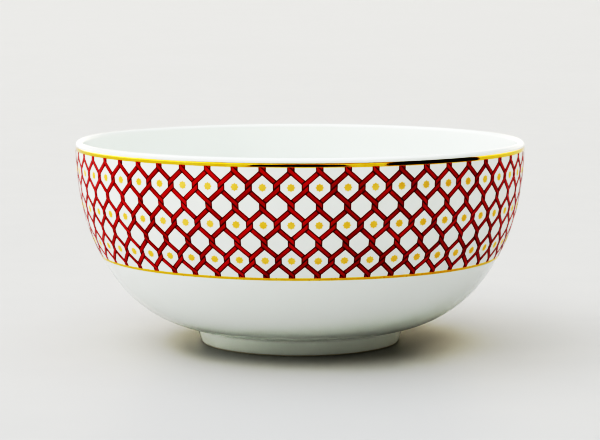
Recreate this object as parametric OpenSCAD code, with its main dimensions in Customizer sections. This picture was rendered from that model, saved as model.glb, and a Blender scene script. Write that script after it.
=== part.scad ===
/* [Bowl] */
// Outside diameter at the lip, over the glaze
bowl_d = 150; // [146:1:152]
// Height from the table to the top of the lip
bowl_h = 68; // [67:0.5:70]
// Thickness of the wall with its glaze
wall_t = 2.4; // [2:0.1:3]
// Thickness of the base with its glaze
base_t = 2.8; // [2.6:0.1:3.2]
// Thickness of the glaze
glaze_t = 0.25; // [0.15:0.05:0.3]

/* [Outside curve] */
// Radius of the upper arc, which leaves the lip upright
upper_r = 101; // [95:1:110]
// Angle from upright at which the upper arc ends
upper_end = 10.3; // [9:0.1:12]
// Radius of the middle arc
middle_r = 66.7; // [64:0.1:70]
// Angle from upright at which the middle arc ends
middle_end = 35.5; // [34:0.5:37]
// Height above the table at which the lower arc turns level
belly_lift = 5; // [4.8:0.1:5.4]

/* [Foot] */
// Outside diameter of the foot where it stands on the table
foot_d = 66.8; // [66:0.2:70]
// Width of the foot's face on the table
foot_t = 3; // [2.6:0.1:3.6]
// Angle by which the outside of the foot leans out as it rises
foot_lean = 16; // [8:1:20]
// Radius of the hollow between the foot and the underside of the bowl
foot_hollow = 1.4; // [1:0.1:1.8]
// Radius of the corner inside the foot
recess_corner = 1.2; // [0.8:0.1:1.6]
// Height of the bare clay left at the foot's edge
bare_edge = 0.5; // [0.3:0.1:0.8]

/* [Painted lattice] */
// Meshes of the lattice round the bowl
meshes = 54; // [48:1:60]
// Distance down the wall between one row of knots and the next
row_gap = 5.9; // [5.8:0.05:6]
// Distance down the wall from the lip's curve to the first row of knots
first_row = 1.8; // [1.7:0.05:2.2]
// Width of a knot as a share of the distance between knots
knot_share = 0.26; // [0.2:0.01:0.3]
// Height of a knot's upright sides
knot_side = 1.9; // [1.5:0.1:2.2]
// Height of a knot from its upper notch to its lower notch
knot_h = 4.3; // [3.8:0.1:4.6]
// Angle of the first star round the bowl
first_star = -92.1; // [-93:0.1:-90]
// Thickness of the painted and gilded layers
paint_t = 0.1; // [0.08:0.01:0.15]

/* [Gilding] */
// Distance down the wall at which the gilding of the lip starts
lip_gilding_top = 0.25; // [0.1:0.05:0.4]
// Width of the gilding of the lip
lip_gilding_w = 1.3; // [1:0.1:1.3]
// Width of the gilt line under the lattice
gilt_line_w = 1; // [0.8:0.1:1.2]
// Diameter of a star over its rays
star_d = 2.3; // [2:0.1:2.6]
// Diameter of a star between its rays, as a share of the diameter over them
star_waist = 0.6; // [0.5:0.05:0.8]

/* [Hidden] */
$fn = 240;
spare = 1;        // how far a cutting shape runs past what it cuts
rows = 6;         // gaps between rows of knots, from the lip to the gilt line
rays = 8;

china_white = [0.95, 0.96, 0.93];
glaze_white = [0.93, 0.95, 0.92];
clay_white = [0.90, 0.89, 0.84];
lattice_red = [0.72, 0.02, 0.02];
gold = [0.86, 0.68, 0.22];

// The outside of the wall is three arcs, tangent where they meet. A point is [radius, height].
lip_z = bowl_h - wall_t / 2;
upper_centre = [bowl_d / 2 - upper_r, lip_z];
middle_centre = upper_centre + (upper_r - middle_r) * outward(upper_end);
middle_foot = middle_centre + middle_r * outward(middle_end);
lower_r = (middle_foot.y - belly_lift) / (1 - sin(middle_end));
lower_centre = middle_foot - lower_r * outward(middle_end);
upper_length = upper_r * upper_end * PI / 180;

floor_z = belly_lift + wall_t;
underside_z = floor_z - base_t;
recess_r = foot_d / 2 - foot_t;

lip_gilding_end = lip_gilding_top + lip_gilding_w;
last_row = first_row + rows * row_gap;
gilt_line_top = last_row + 0.25;

// The hollow above the foot is an arc that touches the foot's side and the lower arc.
foot_up = [sin(foot_lean), cos(foot_lean)];
foot_out = [cos(foot_lean), -sin(foot_lean)];
from_centre = [foot_d / 2, 0] + foot_hollow * foot_out - lower_centre;
hollow_reach = lower_r + foot_hollow;
hollow_rise = -from_centre * foot_up
    - sqrt(pow(from_centre * foot_up, 2) - from_centre * from_centre + pow(hollow_reach, 2));
hollow_centre = lower_centre + from_centre + hollow_rise * foot_up;

// The direction out of the wall, where its angle from upright is a
function outward(a) = [cos(a), -sin(a)];

// The wall's angle from upright at a distance down it from the lip's curve
function wall_angle(down) =
    down < upper_length ? down / upper_r * 180 / PI
    : upper_end + (down - upper_length) / middle_r * 180 / PI;

// The point at that distance down the wall, lifted off it
function wall_point(down, lift = 0) =
    down < upper_length ? upper_centre + (upper_r + lift) * outward(wall_angle(down))
    : middle_centre + (middle_r + lift) * outward(wall_angle(down));

// The same point in space, at an angle round the bowl
function round_point(turn, down, lift) =
    let (p = wall_point(down, lift)) [p.x * cos(turn), p.x * sin(turn), p.y];

// Everything above the underside that the outside arcs hold, with the arcs grown or shrunk
module outside_region(grow) {
    upper_cut = upper_centre.y - (upper_r + grow) * sin(upper_end);
    middle_cut = middle_centre.y - (middle_r + grow) * sin(middle_end);
    arc_band(upper_centre, upper_r + grow, 0, upper_cut, lip_z);
    arc_band(middle_centre, middle_r + grow, 0, middle_cut, upper_cut);
    arc_band(lower_centre, lower_r + grow, lower_centre.x, 0, middle_cut);
    translate([0, belly_lift - grow])
        square([lower_centre.x, middle_cut - belly_lift + grow]);
}

// The part of a disc between two heights and outside a radius
module arc_band(centre, r, from_x, low, high)
    intersection() {
        translate(centre) circle(r);
        translate([from_x, low]) square([bowl_d, high - low]);
    }

// The wall: the outside arcs less the same arcs set in by the wall's thickness, with a round lip
module wall_region(grow) {
    difference() {
        outside_region(grow);
        inside_region(grow);
    }
    translate([bowl_d / 2 - wall_t / 2, lip_z]) circle(wall_t / 2 + grow);
}

// The space inside the bowl, up to the lip's curve
module inside_region(grow) {
    outside_region(-wall_t - grow);
    translate([0, lip_z - spare]) square([bowl_d / 2 - wall_t - grow, 2 * spare]);
}

// The base inside the foot and the foot itself, which stands on the table at height 0
module foot_region(grow) {
    side_foot = [foot_d / 2, 0] + grow / cos(foot_lean) * [1, 0];
    side_end = hollow_centre - (foot_hollow - grow) * foot_out;
    wall_end = hollow_centre - (foot_hollow - grow) / hollow_reach * (hollow_centre - lower_centre);
    difference() {
        polygon([[0, 0], side_foot, side_end, hollow_centre, wall_end,
                 [wall_end.x, floor_z + grow], [0, floor_z + grow]]);
        translate(hollow_centre) circle(foot_hollow - grow);
        recess_region(grow);
    }
}

// The hollow under the base, with a round corner
module recess_region(grow) {
    corner = [recess_r - recess_corner, underside_z - recess_corner];
    translate([0, -spare]) square([recess_r - grow, corner.y + spare]);
    translate([0, -spare]) square([corner.x, underside_z - grow + spare]);
    translate(corner) circle(recess_corner - grow);
}

module whole_region(grow) {
    wall_region(grow);
    foot_region(grow);
}

module above(z) translate([0, z]) square([bowl_d, bowl_h]);
module below(z) translate([0, z - bowl_h]) square([bowl_d, bowl_h]);

// A skin of paint or gold on the outside of the wall, between two distances down it
module wall_skin(from, to)
    rotate_extrude()
        intersection() {
            difference() {
                outside_region(paint_t);
                outside_region(0);
            }
            translate([0, wall_point(to).y]) square([bowl_d, wall_point(from).y - wall_point(to).y]);
        }

// The fired clay of the wall and base, down to where the foot joins
module china_body()
    color(china_white)
        rotate_extrude()
            intersection() {
                whole_region(-glaze_t);
                above(underside_z);
            }

// The ring that the bowl stands on, of the same clay
module foot_ring()
    color(clay_white)
        rotate_extrude()
            intersection() {
                whole_region(-glaze_t);
                below(underside_z);
                above(0);
            }

// The glass coat from the outside of the foot over the lip and all of the inside
module glaze_coat()
    color(glaze_white)
        rotate_extrude()
            difference() {
                whole_region(0);
                whole_region(-glaze_t);
                below(bare_edge);
                recess_and_foot_face();
            }

// The glass coat under the base, inside the foot
module underside_glaze()
    color(glaze_white)
        rotate_extrude()
            intersection() {
                difference() {
                    whole_region(0);
                    whole_region(-glaze_t);
                    below(bare_edge);
                }
                recess_and_foot_face();
            }

// Everything under the base as far out as the middle of the foot's face
module recess_and_foot_face() square([foot_d / 2 - foot_t / 2, underside_z + glaze_t / 2 + spare]);

// The lattice is a net of knots joined by slanting strands. Rows of knots are half a mesh apart
// round the bowl from one row to the next. A knot has six corners, clockwise from its upper notch.
mesh_turn = 360 / meshes;
knot_turn = knot_share * mesh_turn / 2;

function knot_corner(row, corner) =
    let (upper_side = row == 0 ? first_row - lip_gilding_end : knot_side / 2,
         upper_notch = row == 0 ? upper_side : knot_h / 2,
         lower_side = row == rows ? gilt_line_top - last_row : knot_side / 2,
         lower_notch = row == rows ? lower_side : knot_h / 2)
    [[0, upper_notch], [knot_turn, upper_side], [knot_turn, -lower_side],
     [0, -lower_notch], [-knot_turn, -lower_side], [-knot_turn, upper_side]][corner];

// Where the points of a knot stand in the list of points
function knot_start(row, k) = (row * meshes + (k + meshes) % meshes) * 6;

function knot_points(row, k, lift) =
    let (turn = first_star + (k + (row % 2) / 2) * mesh_turn)
    [for (c = [0:5])
        let (at = knot_corner(row, c))
        round_point(turn + at.x, first_row + row * row_gap - at.y, lift)];

// The faces of the net seen from outside, all clockwise
function knot_face(row, k) = [for (c = [0:5]) knot_start(row, k) + c];

function strand_faces(row, k) =
    let (low = knot_start(row, k),
         right = knot_start(row - 1, k + row % 2),
         left = knot_start(row - 1, k + row % 2 - 1))
    [[low, right + 4, right + 3, low + 1], [low + 5, left + 3, left + 2, low]];

// A face cut into triangles from its first point
function triangles(face) = [for (i = [1:len(face) - 2]) [face[0], face[i], face[i + 1]]];

// The open edges of the net, each with the net on its right
function knot_edges(row, k) =
    let (s = knot_start(row, k))
    concat([[s + 1, s + 2], [s + 4, s + 5]],
           row == 0 ? [[s + 5, s], [s, s + 1]] : [],
           row == rows ? [[s + 2, s + 3], [s + 3, s + 4]] : []);

function strand_edges(row, k) =
    [for (f = strand_faces(row, k)) each [[f[0], f[1]], [f[2], f[3]]]];

module lattice_print() {
    outer = [for (row = [0:rows], k = [0:meshes - 1]) each knot_points(row, k, paint_t)];
    inner = [for (row = [0:rows], k = [0:meshes - 1]) each knot_points(row, k, 0)];
    n = len(outer);
    faces = concat([for (row = [0:rows], k = [0:meshes - 1]) knot_face(row, k)],
                   [for (row = [1:rows], k = [0:meshes - 1]) each strand_faces(row, k)]);
    edges = concat([for (row = [0:rows], k = [0:meshes - 1]) each knot_edges(row, k)],
                   [for (row = [1:rows], k = [0:meshes - 1]) each strand_edges(row, k)]);
    backs = [for (f = faces) [for (i = [0:len(f) - 1]) f[(len(f) - i) % len(f)] + n]];
    sides = [for (e = edges) [e[1], e[0], e[0] + n, e[1] + n]];
    color(lattice_red)
        polyhedron(points = concat(outer, inner),
                   faces = [for (f = concat(faces, backs, sides)) each triangles(f)]);
}

// One star, flat on the wall
module star()
    linear_extrude(paint_t)
        polygon([for (i = [0:2 * rays - 1])
            let (r = star_d / 2 * (i % 2 == 0 ? 1 : star_waist))
            r * [cos(i * 180 / rays), sin(i * 180 / rays)]]);

// Stars stand in every second row, in the middle of the meshes
module star_gilding()
    color(gold)
        for (row = [1:2:rows], k = [0:meshes - 1])
            let (down = first_row + row * row_gap, at = wall_point(down))
            rotate([0, 0, first_star + k * mesh_turn])
                translate([at.x, 0, at.y])
                    rotate([0, 90 + wall_angle(down), 0])
                        star();

module lip_gilding() color(gold) wall_skin(lip_gilding_top, lip_gilding_end);

module gilt_line() color(gold) wall_skin(gilt_line_top, gilt_line_top + gilt_line_w);

china_body();
foot_ring();
glaze_coat();
underside_glaze();
lattice_print();
star_gilding();
lip_gilding();
gilt_line();
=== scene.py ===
import math

import bpy
import numpy as np
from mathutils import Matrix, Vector


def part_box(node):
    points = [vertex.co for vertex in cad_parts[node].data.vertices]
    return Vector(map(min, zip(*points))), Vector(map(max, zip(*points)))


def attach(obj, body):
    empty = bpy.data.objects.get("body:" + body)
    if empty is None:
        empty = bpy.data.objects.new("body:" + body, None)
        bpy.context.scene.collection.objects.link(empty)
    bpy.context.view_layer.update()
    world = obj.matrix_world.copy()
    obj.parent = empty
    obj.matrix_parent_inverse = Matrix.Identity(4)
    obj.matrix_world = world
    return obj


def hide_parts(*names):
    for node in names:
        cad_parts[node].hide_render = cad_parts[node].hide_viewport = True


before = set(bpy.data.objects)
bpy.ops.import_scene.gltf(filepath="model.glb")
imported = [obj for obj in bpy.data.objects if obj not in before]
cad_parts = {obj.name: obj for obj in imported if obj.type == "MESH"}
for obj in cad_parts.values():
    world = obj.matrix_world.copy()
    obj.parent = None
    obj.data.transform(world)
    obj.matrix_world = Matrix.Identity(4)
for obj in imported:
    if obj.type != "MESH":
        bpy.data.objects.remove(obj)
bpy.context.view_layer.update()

MM = 0.001

# ---------------------------------------------------------------- camera
LENS_MM = 128.0
CAMERA_AT = Vector((0.0, -0.7152, 0.1236))
CAMERA_TO = Vector((0.0, 0.0, 0.0407))

camera = bpy.data.objects.new("camera", bpy.data.cameras.new("camera"))
camera.data.sensor_width = 36.0
camera.data.lens = LENS_MM
camera.data.clip_start = 0.01
camera.data.clip_end = 200.0
camera.location = CAMERA_AT
camera.rotation_euler = (CAMERA_TO - CAMERA_AT).to_track_quat("-Z", "Y").to_euler()
bpy.context.scene.collection.objects.link(camera)
bpy.context.scene.camera = camera

# ---------------------------------------------------------------- the design's own sizes, in millimetres
# The same rules as the CAD source, so that each piece lies where its CAD node does.
glaze_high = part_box("glaze_coat")[1]
BOWL_R = glaze_high.x / MM
BOWL_H = glaze_high.z / MM
WALL_T, BASE_T, GLAZE_T = 2.4, 2.8, 0.25
UPPER_R, UPPER_END = 101.0, 10.3
MIDDLE_R, MIDDLE_END = 66.7, 35.5
BELLY_LIFT = 5.0
FOOT_R, FOOT_T, FOOT_LEAN, HOLLOW_R = 33.4, 3.0, 16.0, 1.4
RECESS_CORNER, BARE_EDGE = 1.2, 0.5
MESHES, ROWS, ROW_GAP, FIRST_ROW = 54, 6, 5.9, 1.8
KNOT_SHARE, KNOT_SIDE, KNOT_H = 0.26, 1.9, 4.3
FIRST_STAR = -92.1
LIP_GILDING_TOP, LIP_GILDING_W = 0.2, 1.42
GILT_LINE_W = 1.0
STAR_R, STAR_WAIST, RAYS = 1.35, 0.74, 8
LINE_DROP = 0.25   # from the last row of knots to the gilt line
SUNK = -0.03       # height above the glaze of the hidden side of all that is painted or gilded

LIP_GILDING_END = LIP_GILDING_TOP + LIP_GILDING_W
GILT_LINE_TOP = FIRST_ROW + ROWS * ROW_GAP + LINE_DROP
LIP_Z = BOWL_H - WALL_T / 2
FLOOR_Z = BELLY_LIFT + WALL_T
UNDERSIDE_Z = FLOOR_Z - BASE_T
RECESS_R = FOOT_R - FOOT_T


def outward(a):
    """The direction out of the wall where it leans a degrees from upright."""
    return np.array([math.cos(math.radians(a)), -math.sin(math.radians(a))])


UPPER_C = np.array([BOWL_R - UPPER_R, LIP_Z])
MIDDLE_C = UPPER_C + (UPPER_R - MIDDLE_R) * outward(UPPER_END)
MIDDLE_FOOT = MIDDLE_C + MIDDLE_R * outward(MIDDLE_END)
LOWER_R = (MIDDLE_FOOT[1] - BELLY_LIFT) / (1 - math.sin(math.radians(MIDDLE_END)))
LOWER_C = MIDDLE_FOOT - LOWER_R * outward(MIDDLE_END)
UPPER_LENGTH = math.radians(UPPER_R * UPPER_END)

FOOT_UP = np.array([math.sin(math.radians(FOOT_LEAN)), math.cos(math.radians(FOOT_LEAN))])
FOOT_OUT = np.array([FOOT_UP[1], -FOOT_UP[0]])
_from = np.array([FOOT_R, 0.0]) + HOLLOW_R * FOOT_OUT - LOWER_C
_reach = LOWER_R + HOLLOW_R
_rise = -_from @ FOOT_UP - math.sqrt((_from @ FOOT_UP) ** 2 - _from @ _from + _reach**2)
HOLLOW_C = LOWER_C + _from + _rise * FOOT_UP


def wall_angle(down):
    if down < UPPER_LENGTH:
        return math.degrees(down / UPPER_R)
    return UPPER_END + math.degrees((down - UPPER_LENGTH) / MIDDLE_R)


def wall_point(down, lift=0.0):
    """[radius, height] at a distance down the outside of the wall from the lip's curve."""
    a = wall_angle(down)
    if down < UPPER_LENGTH:
        return UPPER_C + (UPPER_R + lift) * outward(a)
    return MIDDLE_C + (MIDDLE_R + lift) * outward(a)


def on_wall(turn, down, lift):
    r, z = wall_point(down, lift)
    t = math.radians(turn)
    return (r * math.cos(t) * MM, r * math.sin(t) * MM, z * MM)


# ---------------------------------------------------------------- mesh helpers
def new_piece(name, points, faces, replaces, slot, materials, index=None, sharp=35.0):
    mesh = bpy.data.meshes.new(name)
    mesh.from_pydata([tuple(p) for p in points], [], faces)
    mesh.validate()
    mesh.polygons.foreach_set("use_smooth", [True] * len(mesh.polygons))
    for m in materials:
        mesh.materials.append(m)
    if index is not None:
        mesh.polygons.foreach_set("material_index", index)
    mesh.set_sharp_from_angle(angle=math.radians(sharp))
    piece = bpy.data.objects.new(name, mesh)
    bpy.context.scene.collection.objects.link(piece)
    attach(piece, "root")
    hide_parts(replaces)
    return piece


def arc(centre, r, start, end, steps):
    """Points of an arc whose angle runs from the outward direction, downwards, in degrees."""
    return [centre + r * outward(start + (end - start) * i / steps) for i in range(steps + 1)]


def revolve(outline, steps):
    """Points and faces of a closed solid turned from an outline of [radius, height] in millimetres."""
    points, faces, rings = [], [], []
    for r, z in outline:
        if r < 1e-6:
            rings.append([len(points)] * steps)
            points.append((0.0, 0.0, z * MM))
        else:
            rings.append(list(range(len(points), len(points) + steps)))
            for i in range(steps):
                t = 2 * math.pi * i / steps
                points.append((r * math.cos(t) * MM, r * math.sin(t) * MM, z * MM))
    closed = list(zip(rings, rings[1:] + rings[:1]))
    for a, b in closed:
        for i in range(steps):
            j = (i + 1) % steps
            face = [a[i], a[j], b[j], b[i]]
            face = [v for n, v in enumerate(face) if v not in face[:n]]
            if len(face) > 2:
                faces.append(face)
    return points, faces


def inside_curve(grow):
    """From the middle of the floor to the lip's inner side."""
    t = WALL_T + grow
    lower = arc(LOWER_C, LOWER_R - t, 90, MIDDLE_END, 36)
    middle = arc(MIDDLE_C, MIDDLE_R - t, MIDDLE_END, UPPER_END, 24)[1:]
    upper = arc(UPPER_C, UPPER_R - t, UPPER_END, 0, 14)[1:]
    floor = [np.array([LOWER_C[0] * i / 12, BELLY_LIFT + t]) for i in range(12)]
    return floor + lower + middle + upper


def lip_curve(grow):
    """Over the lip, from its inner side to its outer side."""
    centre = np.array([BOWL_R - WALL_T / 2, LIP_Z])
    return arc(centre, WALL_T / 2 + grow, -180, 0, 24)[1:-1]


def outside_curve(grow, foot_end):
    """From the lip's outer side down the wall and the foot to a height above the table."""
    upper = arc(UPPER_C, UPPER_R + grow, 0, UPPER_END, 20)
    middle = arc(MIDDLE_C, MIDDLE_R + grow, UPPER_END, MIDDLE_END, 28)[1:]
    wall_end = math.degrees(math.atan2(*-(HOLLOW_C - LOWER_C)[::-1] * [1, -1]))
    lower = arc(LOWER_C, LOWER_R + grow, MIDDLE_END, wall_end, 36)[1:]
    hollow = arc(HOLLOW_C, HOLLOW_R - grow, wall_end - 180, FOOT_LEAN - 180, 12)[1:]
    side = np.array([FOOT_R, 0.0]) + grow * FOOT_OUT
    foot = side + (foot_end - side[1]) / FOOT_UP[1] * FOOT_UP
    return upper + middle + lower + hollow + [foot]


def recess_curve(grow, foot_end):
    """From inside the foot at a height above the table over the recess to its middle."""
    corner = np.array([RECESS_R - RECESS_CORNER, UNDERSIDE_Z - RECESS_CORNER])
    bend = arc(corner, RECESS_CORNER - grow, 0, -90, 10)
    flat = [np.array([bend[-1][0] * i / 10, bend[-1][1]]) for i in range(9, -1, -1)]
    return [np.array([RECESS_R - grow, foot_end])] + bend + flat


# ---------------------------------------------------------------- materials
def material(name):
    m = bpy.data.materials.new(name)
    m.use_nodes = True
    nodes, links = m.node_tree.nodes, m.node_tree.links
    shader = nodes["Principled BSDF"]
    coords = nodes.new("ShaderNodeTexCoord")

    def noise(scale, detail=4.0, rough=0.55):
        n = nodes.new("ShaderNodeTexNoise")
        n.inputs["Scale"].default_value = scale
        n.inputs["Detail"].default_value = detail
        n.inputs["Roughness"].default_value = rough
        links.new(coords.outputs["Object"], n.inputs["Vector"])
        return n.outputs["Fac"]

    def ramp(value, *stops):
        n = nodes.new("ShaderNodeValToRGB")
        while len(n.color_ramp.elements) < len(stops):
            n.color_ramp.elements.new(0.5)
        for e, (at, colour) in zip(n.color_ramp.elements, stops):
            e.position = at
            e.color = (*colour, 1.0) if isinstance(colour, tuple) else (colour, colour, colour, 1.0)
        links.new(value, n.inputs["Fac"])
        return n.outputs["Color"]

    def bump(value, strength, distance, after=None):
        n = nodes.new("ShaderNodeBump")
        n.inputs["Strength"].default_value = strength
        n.inputs["Distance"].default_value = distance
        links.new(value, n.inputs["Height"])
        if after is not None:
            links.new(after, n.inputs["Normal"])
        return n.outputs["Normal"]

    def mix(a, b, factor=0.5, kind="MULTIPLY"):
        n = nodes.new("ShaderNodeMix")
        n.data_type = "RGBA"
        n.blend_type = kind
        n.inputs[0].default_value = factor
        links.new(a, n.inputs[6])
        links.new(b, n.inputs[7])
        return n.outputs[2]

    def put(socket, value):
        if isinstance(value, (int, float, tuple)):
            shader.inputs[socket].default_value = value
        else:
            links.new(value, shader.inputs[socket])

    return m, noise, ramp, bump, mix, put


def glazed_china():
    m, noise, ramp, bump, mix, put = material("glazed_china")
    cloud = ramp(noise(28.0, 3.0), (0.3, (0.880, 0.925, 0.895)), (0.7, (0.900, 0.940, 0.915)))
    speck = ramp(noise(2600.0, 2.0), (0.24, (0.90, 0.90, 0.84)), (0.30, (1.0, 1.0, 1.0)))
    put("Base Color", mix(cloud, speck, 1.0))
    put("Roughness", ramp(noise(160.0, 3.0), (0.3, 0.07), (0.7, 0.12)))
    put("IOR", 1.5)
    ripple = bump(noise(120.0, 2.0), 0.25, 0.00006)
    put("Normal", bump(noise(900.0, 3.0), 0.15, 0.00002, ripple))
    return m


def bare_clay():
    m, noise, ramp, bump, mix, put = material("bare_clay")
    cloud = ramp(noise(180.0, 5.0), (0.3, (0.66, 0.64, 0.55)), (0.7, (0.76, 0.74, 0.66)))
    grit = ramp(noise(4200.0, 3.0), (0.30, (0.62, 0.58, 0.50)), (0.42, (1.0, 1.0, 1.0)))
    put("Base Color", mix(cloud, grit, 0.8))
    put("Roughness", ramp(noise(700.0, 4.0), (0.3, 0.62), (0.7, 0.82)))
    put("Normal", bump(noise(3200.0, 5.0), 0.5, 0.00005))
    return m


def red_enamel():
    m, noise, ramp, bump, mix, put = material("red_enamel")
    tone = ramp(noise(75.0, 3.0), (0.38, (0.43, 0.0, 0.002)), (0.62, (0.57, 0.03, 0.04)))
    grain = ramp(noise(5200.0, 2.0), (0.28, (0.72, 0.7, 0.7)), (0.48, (1.0, 1.0, 1.0)))
    put("Base Color", mix(tone, grain, 0.8))
    put("Roughness", ramp(noise(900.0, 3.0), (0.3, 0.16), (0.7, 0.30)))
    put("Specular IOR Level", 0.2)
    put("Normal", bump(noise(2400.0, 3.0), 0.2, 0.00003))
    return m


def maroon_enamel():
    m, noise, ramp, bump, mix, put = material("maroon_enamel")
    tone = ramp(noise(520.0, 4.0), (0.3, (0.085, 0.0, 0.001)), (0.7, (0.15, 0.002, 0.004)))
    grain = ramp(noise(5200.0, 2.0), (0.28, (0.6, 0.6, 0.6)), (0.50, (1.0, 1.0, 1.0)))
    put("Base Color", mix(tone, grain, 0.7))
    put("Roughness", ramp(noise(900.0, 3.0), (0.3, 0.20), (0.7, 0.34)))
    put("Specular IOR Level", 0.08)
    put("Normal", bump(noise(2400.0, 3.0), 0.2, 0.00003))
    return m


def gold(name, low, high, rough, wear, metal=1.0):
    m, noise, ramp, bump, mix, put = material(name)
    tone = ramp(noise(260.0, 4.0), (0.3, low), (0.7, high))
    brush = ramp(noise(3600.0, 3.0), (0.25, wear), (0.45, (1.0, 1.0, 1.0)))
    put("Base Color", mix(tone, brush, 0.8))
    put("Metallic", metal)
    put("Roughness", ramp(noise(1400.0, 4.0), (0.3, rough[0]), (0.7, rough[1])))
    put("Normal", bump(noise(2200.0, 3.0), 0.15, 0.00003))
    return m


china = glazed_china()
clay = bare_clay()
red = red_enamel()
maroon = maroon_enamel()
lip_gold = gold("lip_gold", (0.90, 0.57, 0.08), (0.97, 0.67, 0.16), (0.05, 0.10), (0.8, 0.66, 0.5))
line_gold = gold("line_gold", (0.90, 0.57, 0.07), (0.97, 0.66, 0.14), (0.26, 0.38), (0.8, 0.66, 0.5))
star_gold = gold("star_gold", (0.90, 0.57, 0.11), (0.96, 0.68, 0.22), (0.50, 0.62), (0.9, 0.8, 0.6), 0.5)

# ---------------------------------------------------------------- clay, glaze and foot
ROUND_STEPS = 320

glaze_edge = arc(
    np.array([FOOT_R, 0.0]) + (BARE_EDGE / FOOT_UP[1]) * FOOT_UP - GLAZE_T / 2 * FOOT_OUT,
    GLAZE_T / 2, FOOT_LEAN, FOOT_LEAN + 180, 8,
)
shown = inside_curve(0) + lip_curve(0) + outside_curve(0, BARE_EDGE + GLAZE_T / 2) + glaze_edge[1:-1]
against_clay = (
    outside_curve(-GLAZE_T, BARE_EDGE + GLAZE_T / 2)[::-1]
    + lip_curve(-GLAZE_T)[::-1] + inside_curve(-GLAZE_T)[::-1]
)
points, faces = revolve(shown + against_clay[:-1:3] + against_clay[-1:], ROUND_STEPS)
new_piece("glaze_skin", points, faces, "glaze_coat", "glaze", [china])

under = (
    [np.array([RECESS_R, BARE_EDGE + 0.1]), np.array([RECESS_R + 0.04, BARE_EDGE + 0.03]),
     np.array([RECESS_R + GLAZE_T - 0.04, BARE_EDGE + 0.03])]
    + [np.array([RECESS_R + GLAZE_T, BARE_EDGE + 0.1])]
    + recess_curve(-GLAZE_T, BARE_EDGE + 0.3)
    + recess_curve(0, BARE_EDGE + 0.3)[::-1]
)
points, faces = revolve(under, ROUND_STEPS)
new_piece("underside_skin", points, faces, "underside_glaze", "glaze", [china])

EDGE = 0.18
inner_r, outer_r = RECESS_R + GLAZE_T, FOOT_R - GLAZE_T
slope = FOOT_UP[0] / FOOT_UP[1]
ring = (
    [np.array([outer_r + slope * UNDERSIDE_Z, UNDERSIDE_Z]), np.array([outer_r + slope * EDGE, EDGE])]
    + arc(np.array([outer_r - EDGE, EDGE]), EDGE, 15, 90, 5)
    + arc(np.array([inner_r + EDGE, EDGE]), EDGE, 90, 180, 6)
    + [np.array([inner_r, UNDERSIDE_Z])]
)
points, faces = revolve(ring, ROUND_STEPS)
new_piece("foot_clay", points, faces, "foot_ring", "bare_china", [clay])

# ---------------------------------------------------------------- gilding of the lip and the line
def wall_band(name, top, end, lift, replaces, metal):
    """A film on the wall with soft edges, which waver a little as a brushed line's do."""
    steps, cross = 720, 7
    rng = np.random.default_rng(len(name))
    phases = rng.uniform(0, 2 * math.pi, (2, 5))
    points, faces = [], []
    for i in range(steps):
        t = 2 * math.pi * i / steps
        waver = [sum(math.sin(n * t + phases[side][j]) / n**0.5 for j, n in enumerate((3, 7, 13, 23, 41)))
                 for side in (0, 1)]
        a, b = top + 0.012 * waver[0], end + 0.018 * waver[1]
        for j in range(cross):
            s = j / (cross - 1)
            height = lift * (1 - (2 * s - 1) ** 6)
            points.append(on_wall(math.degrees(t), a + (b - a) * s, height - 0.01))
        for j in range(cross):
            s = 1 - j / (cross - 1)
            points.append(on_wall(math.degrees(t), a + (b - a) * s, SUNK))
    n = 2 * cross
    for i in range(steps):
        k = (i + 1) % steps
        for j in range(n):
            l = (j + 1) % n
            faces.append([i * n + j, i * n + l, k * n + l, k * n + j])
    return new_piece(name, points, faces, replaces, "gilding", [metal])


wall_band("lip_gold_band", LIP_GILDING_TOP, LIP_GILDING_END, 0.06, "lip_gilding", lip_gold)
wall_band("gold_line", GILT_LINE_TOP, GILT_LINE_TOP + GILT_LINE_W, 0.06, "gilt_line", line_gold)

# ---------------------------------------------------------------- stars
def star_mesh():
    """A film with eight rays, a little higher in the middle and pointed at the rays' ends."""
    points, faces = [], []
    for row in range(1, ROWS + 1, 2):
        down = FIRST_ROW + row * ROW_GAP
        r0 = wall_point(down)[0]
        for k in range(MESHES):
            centre = FIRST_STAR + k * 360 / MESHES
            start = len(points)
            points.append(on_wall(centre, down, 0.07))
            for ring_share, lift in ((0.45, 0.065), (1.0, 0.03), (1.0, SUNK)):
                for i in range(2 * RAYS):
                    r = STAR_R * (1.0 if i % 2 == 0 else STAR_WAIST)
                    r = r * ring_share if i % 2 == 0 or ring_share == 1.0 else r * 0.75
                    a = math.pi * i / RAYS
                    points.append(on_wall(centre + math.degrees(r * math.cos(a) / r0),
                                          down - r * math.sin(a), lift))
            points.append(on_wall(centre, down, SUNK))
            n = 2 * RAYS
            for i in range(n):
                j = (i + 1) % n
                faces.append([start, start + 1 + i, start + 1 + j])
                for ring_number in (0, 1):
                    a, b = start + 1 + ring_number * n, start + 1 + (ring_number + 1) * n
                    faces.append([a + i, b + i, b + j, a + j])
                faces.append([start + 1 + 3 * n, start + 1 + 2 * n + j, start + 1 + 2 * n + i])
    return points, faces


points, faces = star_mesh()
new_piece("gold_stars", points, faces, "star_gilding", "gilding", [star_gold])

# ---------------------------------------------------------------- the lattice
# Each knot is two slanting bands. Each band runs on into one strand, and the outline goes round both.
# Lines between two bands are thinner than those beside the white. Corners 1 and 4 are the notch and the fold
# under it.
FREE_LINE, SHARED_LINE = 0.31, 0.14
FOLD_LINES = {1: 0.33, 4: 0.24}
SHOULDER = 0.05
CUT = LINE_DROP + 0.08


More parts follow.
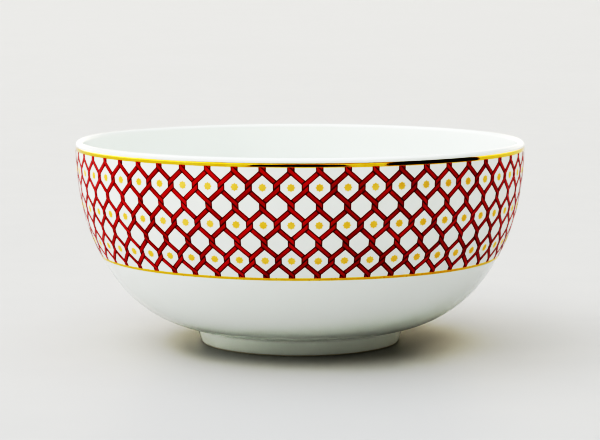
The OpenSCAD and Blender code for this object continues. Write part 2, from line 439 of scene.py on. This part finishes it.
def band_shape(half_mesh, cut=None):
    """[corner, outline width of the edge that follows, steps of that edge] of a knot's upper band and its
    strand, clockwise, from the middle of the knot. cut is for the first and the last row, which gilding ends.
    """
    k, s, h, b = KNOT_SHARE * half_mesh, KNOT_SIDE / 2, KNOT_H / 2, ROW_GAP
    a = half_mesh
    if cut == "stub":
        return [((-k, CUT), 0.0, 3), ((k * CUT / s, CUT), SHARED_LINE, 3), ((-k, -s), FREE_LINE, 3)]
    rows = [((-k, s), SHARED_LINE, 3), ((0.0, h), FREE_LINE, 5), ((a - k, b - s), SHARED_LINE, 2),
            ((a, b - h), FREE_LINE, 5)]
    if cut == "start":
        return rows + [((k, s), SHARED_LINE, 2), ((-k * CUT / s, -CUT), 0.0, 1), ((-k, -CUT), FREE_LINE, 2)]
    return rows + [((k, s), SHARED_LINE, 3), ((-k, -s), FREE_LINE, 2)]


def inset(shape, share, further=0.0):
    """Points round the shape, moved in by a share of the outline's width and a distance further."""
    corners = [np.array(c) for c, _, _ in shape]
    lines = [line for _, line, _ in shape]
    across = []
    for p, q in zip(corners, corners[1:] + corners[:1]):
        d = (q - p) / np.linalg.norm(q - p)
        across.append(np.array([d[1], -d[0]]))
    moved = []
    for i, p in enumerate(corners):
        a, b = across[i - 1], across[i]
        if len(shape) > 3 and i in FOLD_LINES:
            move = (share * FOLD_LINES[i] + further) * (a + b) / (1 + a @ b)
        else:
            move = np.linalg.solve([a, b], [share * lines[i - 1] + further, share * lines[i] + further])
        moved.append(p + move)
    return [p + (q - p) * j / n
            for p, q, (_, _, n) in zip(moved, moved[1:] + moved[:1], shape) for j in range(n)]


CUT_BANDS = {(0, True): "stub", (0, False): "start", (ROWS, True): "start", (ROWS, False): "stub"}


def lattice_meshes():
    outline, fill = ([], []), ([], [])

    def add(mesh, loops, place):
        """Joins loops of flat points with the height of each."""
        points, faces = mesh
        n = len(loops[0][0])
        starts = []
        for loop, lift in loops:
            starts.append(len(points))
            points.extend(place(p, lift) for p in loop)
        for a, b in zip(starts, starts[1:]):
            for i in range(n):
                j = (i + 1) % n
                faces.append([a + i, a + j, b + j, b + i])
        return starts

    def close(mesh, start, n, flip):
        """Faces across a loop of points. A band's go from edge to edge, and a stub's from one point."""
        faces = mesh[1]
        if n == 9:
            made = [[start + 4, start + 4 + i, start + 4 + (i + 1)] for i in range(1, 8)]
            made = [[v if v < start + 9 else v - 9 for v in f] for f in made]
        else:
            made = [[start + i, start + i + 1, start + 17 - i, start + 18 - i] for i in range(3)]
            made += [[start + 3 + i, start + 4 + i, start + 14 - i, start + 15 - i] for i in range(5)]
            made += [[start, start + 18, start + 19], [start + 8, start + 9, start + 10]]
        faces.extend(f[::-1] if flip else f for f in made)

    for row in range(ROWS + 1):
        for k in range(MESHES):
            turn = FIRST_STAR + (k + (row % 2) / 2) * 360 / MESHES
            down = FIRST_ROW + row * ROW_GAP
            for upper in (True, False):
                cut = CUT_BANDS.get((row, upper))
                other = down + (-ROW_GAP if upper else ROW_GAP)
                mean_r = (wall_point(down)[0] + wall_point(other)[0]) / 2
                half_mesh = math.pi * mean_r / MESHES
                sx, sy = (1 if (row % 2 == 1) == upper else -1), (1 if upper else -1)
                shape = band_shape(half_mesh, cut)

                def place(p, lift, sx=sx, sy=sy, mean_r=mean_r, turn=turn, down=down):
                    v = down - sy * p[1]
                    return on_wall(turn + math.degrees(sx * p[0] / mean_r), v, lift)

                rim, rise, inner = inset(shape, 0.0), inset(shape, 0.2), inset(shape, 1.0)
                crest = inset(shape, 1.0, SHOULDER)
                mirrored = sx * sy < 0
                before = len(outline[1])
                profile = [(inner, SUNK), (rim, SUNK), (rim, 0.0), (rise, 0.04), (inner, 0.045)]
                starts = add(outline, profile, place)
                n = len(rim)
                for i in range(n):
                    j = (i + 1) % n
                    outline[1].append([starts[-1] + i, starts[-1] + j, starts[0] + j, starts[0] + i])
                if mirrored:
                    outline[1][before:] = [f[::-1] for f in outline[1][before:]]
                before = len(fill[1])
                starts = add(fill, [(inner, SUNK), (inner, 0.045), (crest, 0.07)], place)
                close(fill, starts[-1], n, False)
                close(fill, starts[0], n, True)
                if mirrored:
                    fill[1][before:] = [f[::-1] for f in fill[1][before:]]
    return outline, fill


outline, fill = lattice_meshes()
new_piece("lattice_outline", *outline, "lattice_print", "red_enamel", [maroon])
new_piece("lattice_red", *fill, "lattice_print", "red_enamel", [red])

# ---------------------------------------------------------------- the clay under the glaze
body_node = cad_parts["china_body"]
if not body_node.material_slots:
    body_node.data.materials.append(clay)
for body_slot in body_node.material_slots:
    body_slot.material = clay

# ---------------------------------------------------------------- floor and light
def floor_material():
    m, noise, ramp, bump, mix, put = material("pale_floor")
    put("Base Color", ramp(noise(3.0, 2.0), (0.3, (0.495, 0.495, 0.495)), (0.7, (0.505, 0.505, 0.505))))
    put("Roughness", ramp(noise(40.0, 2.0), (0.3, 0.50), (0.7, 0.55)))
    put("Specular IOR Level", 0.3)
    return m


bpy.ops.mesh.primitive_circle_add(vertices=96, radius=40.0, fill_type="NGON", location=(0, 0, 0))
floor = bpy.context.object
floor.name = "floor"
floor.data.materials.append(floor_material())

# The room: each side gives one tint, at four strengths from the table's bounce up through the wall and a dark
# gap to its softbox, under a cool ceiling. Heights are sines of the angle above the horizon.
HEIGHTS = (0.0, 0.15, 0.45, 0.75, 1.0)
WHITE, WARM, CEILING = (1.0, 1.0, 1.0), (1.0, 0.9, 0.7), (0.3, 0.35, 0.4)
ROOM = (
    ((-1, 0, 0), WHITE, (0.7, 0.15, 0.05, 0.95)),
    ((1, 0, 0), WHITE, (0.25, 0.05, 0.0, 0.15)),
    ((0, -1, 0), WARM, (0.25, 0.0, 0.0, 0.35)),
    ((0, 1, 0), WARM, (0.25, 0.55, 0.0, 0.0)),
)
LIGHTS = [(toward, [tuple(k * c for c in tint) for k in sides] + [CEILING]) for toward, tint, sides in ROOM]
DOME_STRENGTH = 5.0


def studio_world():
    """A soft dome made of four wide lights, one on each side, with its own colours from the horizon up."""
    world = bpy.data.worlds.new("studio")
    world.use_nodes = True
    nodes, links = world.node_tree.nodes, world.node_tree.links
    coords = nodes.new("ShaderNodeTexCoord")
    parts = nodes.new("ShaderNodeSeparateXYZ")
    links.new(coords.outputs["Generated"], parts.inputs[0])
    total = None
    for toward, colours in LIGHTS:
        facing = nodes.new("ShaderNodeVectorMath")
        facing.operation = "DOT_PRODUCT"
        facing.inputs[1].default_value = [0.5 * v for v in toward]
        links.new(coords.outputs["Generated"], facing.inputs[0])
        raised = nodes.new("ShaderNodeMath")
        raised.inputs[1].default_value = 0.5
        links.new(facing.outputs["Value"], raised.inputs[0])
        spread = nodes.new("ShaderNodeMath")
        spread.operation = "POWER"
        spread.inputs[1].default_value = 2.0
        links.new(raised.outputs[0], spread.inputs[0])
        ramp = nodes.new("ShaderNodeValToRGB")
        while len(ramp.color_ramp.elements) < len(HEIGHTS):
            ramp.color_ramp.elements.new(0.5)
        for e, height, colour in zip(ramp.color_ramp.elements, HEIGHTS, colours):
            e.position, e.color = height, (*colour, 1.0)
        links.new(parts.outputs[2], ramp.inputs["Fac"])
        light = nodes.new("ShaderNodeVectorMath")
        light.operation = "SCALE"
        links.new(ramp.outputs["Color"], light.inputs[0])
        links.new(spread.outputs[0], light.inputs["Scale"])
        if total is None:
            total = light
        else:
            added = nodes.new("ShaderNodeVectorMath")
            links.new(total.outputs[0], added.inputs[0])
            links.new(light.outputs[0], added.inputs[1])
            total = added
    links.new(total.outputs[0], nodes["Background"].inputs["Color"])
    nodes["Background"].inputs["Strength"].default_value = DOME_STRENGTH
    bpy.context.scene.world = world


studio_world()


def black_flag(name, start, end, radius, height):
    """A curved black card that only reflections see. It gives the polished gold its dark stretches."""
    points, faces = [], []
    for i in range(25):
        t = math.radians(start + (end - start) * i / 24)
        # Lower at its ends than in its middle
        arch = 0.35 + 0.65 * math.sin(math.pi * i / 24) ** 0.6
        for z in (0.0, height * arch):
            points.append((radius * math.cos(t), radius * math.sin(t), z))
        if i:
            faces.append([2 * i - 2, 2 * i, 2 * i + 1, 2 * i - 1])
    mesh = bpy.data.meshes.new(name)
    mesh.from_pydata(points, [], faces)
    m, noise, ramp, bump, mix, put = material(name)
    put("Base Color", ramp(noise(30.0), (0.3, (0.012, 0.010, 0.008)), (0.7, (0.02, 0.017, 0.014))))
    put("Roughness", 0.9)
    mesh.materials.append(m)
    card = bpy.data.objects.new(name, mesh)
    bpy.context.scene.collection.objects.link(card)
    card.visible_camera = card.visible_diffuse = card.visible_shadow = False


black_flag("flag_right", -52, 0, 0.30, 0.16)
black_flag("flag_front", -113, -68, 0.30, 0.075)

# A mild contrast curve, as a camera gives, brightness in and out: black, toe, middle, shoulder, white
TONE = ((0.0, 0.0), (0.15, 0.03), (0.5, 0.55), (0.9, 0.85), (1.4, 1.0))
bpy.context.scene.view_settings.view_transform = "Standard"
bpy.context.scene.view_settings.use_curve_mapping = True
contrast = bpy.context.scene.view_settings.curve_mapping
# The curve runs from 0 to 1, so the white level stretches it up to TONE's last value
contrast.white_level = [TONE[-1][0]] * 3
for value_in, value_out in TONE[1:-1]:
    contrast.curves[3].points.new(value_in / TONE[-1][0], value_out)
contrast.update()
